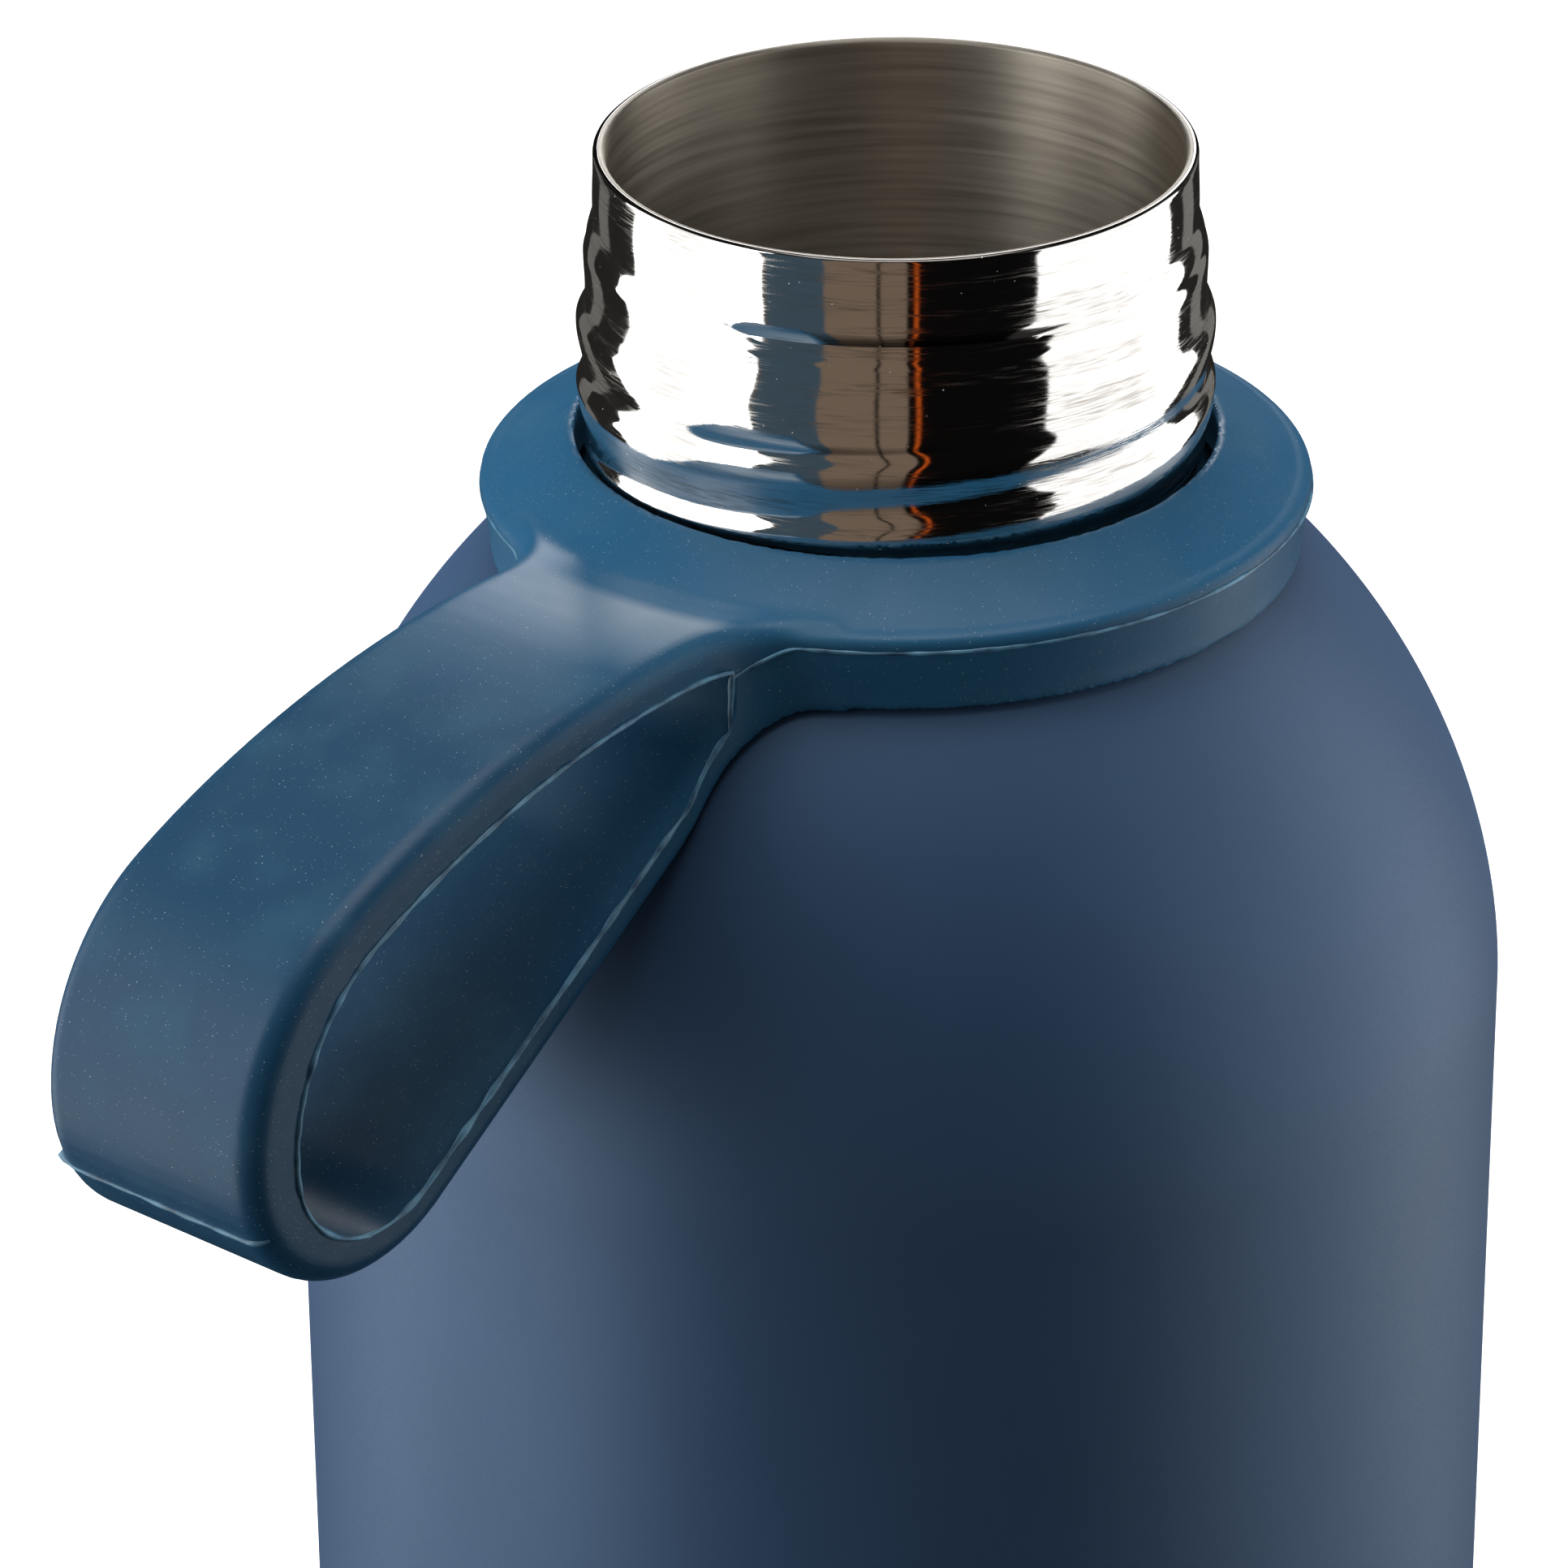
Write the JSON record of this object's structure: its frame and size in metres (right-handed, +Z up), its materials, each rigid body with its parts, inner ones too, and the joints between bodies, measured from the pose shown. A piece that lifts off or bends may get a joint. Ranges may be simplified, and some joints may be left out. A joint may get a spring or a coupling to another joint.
{
  "type": "insulated drinking bottle",
  "caption": "Tall double-walled vacuum bottle with an open threaded steel neck and a silicone collar with a carrying strap.",
  "frame": {"origin": "centre of the foot ring, on the surface the bottle stands on", "axes": "+Z up along the bottle's axis to the mouth; the carrying strap points along -Y and its finger hole runs along X"},
  "size_m": [0.09, 0.1251, 0.265],
  "materials": {
    "coated_steel": "matte powder coat, slate blue",
    "polished_steel": "mirror polished stainless steel",
    "satin_steel": "satin stainless steel with fine turned lines",
    "silicone": "matte moulded silicone, petrol blue",
    "seal_glass": "fused solder glass",
    "getter_alloy": "sintered tablet",
    "foil": "bright foil"
  },
  "bodies": {
    "bottle": {"outer_shell": "coated_steel", "outer_base": "coated_steel", "base_cover": "polished_steel", "port_seal": "seal_glass", "inner_vessel": "satin_steel", "inner_bottom": "satin_steel", "getter_holder": "satin_steel", "getter": "getter_alloy", "radiation_foil": "foil"},
    "collar": {"loop_collar": "silicone"},
    "strap": {"loop_strap": "silicone"}
  },
  "joints": [
    {"name": "collar_swivel", "type": "hinge", "parent": "bottle", "child": "collar", "pos_m": [0, 0, 0.24], "axis": [0, 0, 1], "continuous": true},
    {"name": "strap_flex", "type": "hinge", "parent": "collar", "child": "strap", "pos_m": [0, -0.03035, 0.2407], "axis": [-1, 0, 0], "range_deg": [0, 90], "stiffness_Nm_per_rad": 0.03}
  ]
}
